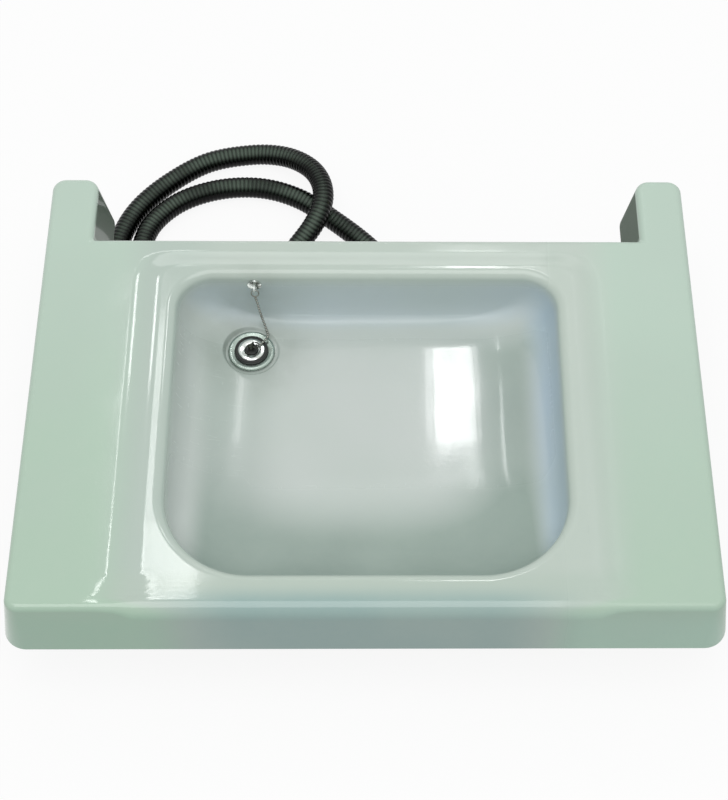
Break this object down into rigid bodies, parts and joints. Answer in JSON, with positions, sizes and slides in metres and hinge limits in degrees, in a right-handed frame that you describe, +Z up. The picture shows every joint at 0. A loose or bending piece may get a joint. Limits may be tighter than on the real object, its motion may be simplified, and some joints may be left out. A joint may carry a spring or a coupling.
{
  "type": "moulded sink top with waste hose",
  "caption": "One-piece moulded sink top: drafted deck with two rear ears, recessed panel, rounded bowl, waste with plug on a ball chain, and a ribbed waste hose below.",
  "frame": {"origin": "centre of the deck's plan, without the ears, at the level of the skirt's lower edge, where the sink stands on its cabinet", "axes": "+X to the user's right, +Y to the rear, where the ears and the hose are, +Z up"},
  "size_m": [0.619, 0.6008, 0.1312],
  "materials": {
    "moulding": "glossy moulded plastic, pale greenish white",
    "bright_metal": "plated, bright",
    "chain_metal": "plated, slightly tarnished",
    "clip_steel": "rolled and stamped",
    "seal_rubber": "matt black rubber",
    "plug_rubber": "satin black rubber",
    "white_plastic": "moulded white plastic",
    "hose_plastic": "ribbed, glossy black"
  },
  "bodies": {
    "sink": {"sink_moulding": "moulding", "waste_flange": "bright_metal", "flange_seal": "seal_rubber", "under_seal": "seal_rubber", "slip_washer": "white_plastic", "waste_backnut": "white_plastic", "tail_washer": "seal_rubber", "union_nut": "white_plastic", "hose_elbow": "white_plastic", "clip_band": "clip_steel", "clip_housing": "clip_steel", "clip_screw": "clip_steel", "waste_hose": "hose_plastic", "plug_chain": "chain_metal", "stay_ring": "chain_metal", "chain_stay": "bright_metal", "stay_washer": "seal_rubber", "stay_nut": "bright_metal"},
    "plug": {"plug_body": "plug_rubber", "plug_cap": "bright_metal", "plug_eye": "bright_metal", "plug_ring": "chain_metal"}
  },
  "joints": [
    {"name": "plug_lift", "type": "slide", "parent": "sink", "child": "plug", "axis": [0, 0, 1], "range_m": [0, 0.06], "deforming": ["plug_chain"]}
  ]
}
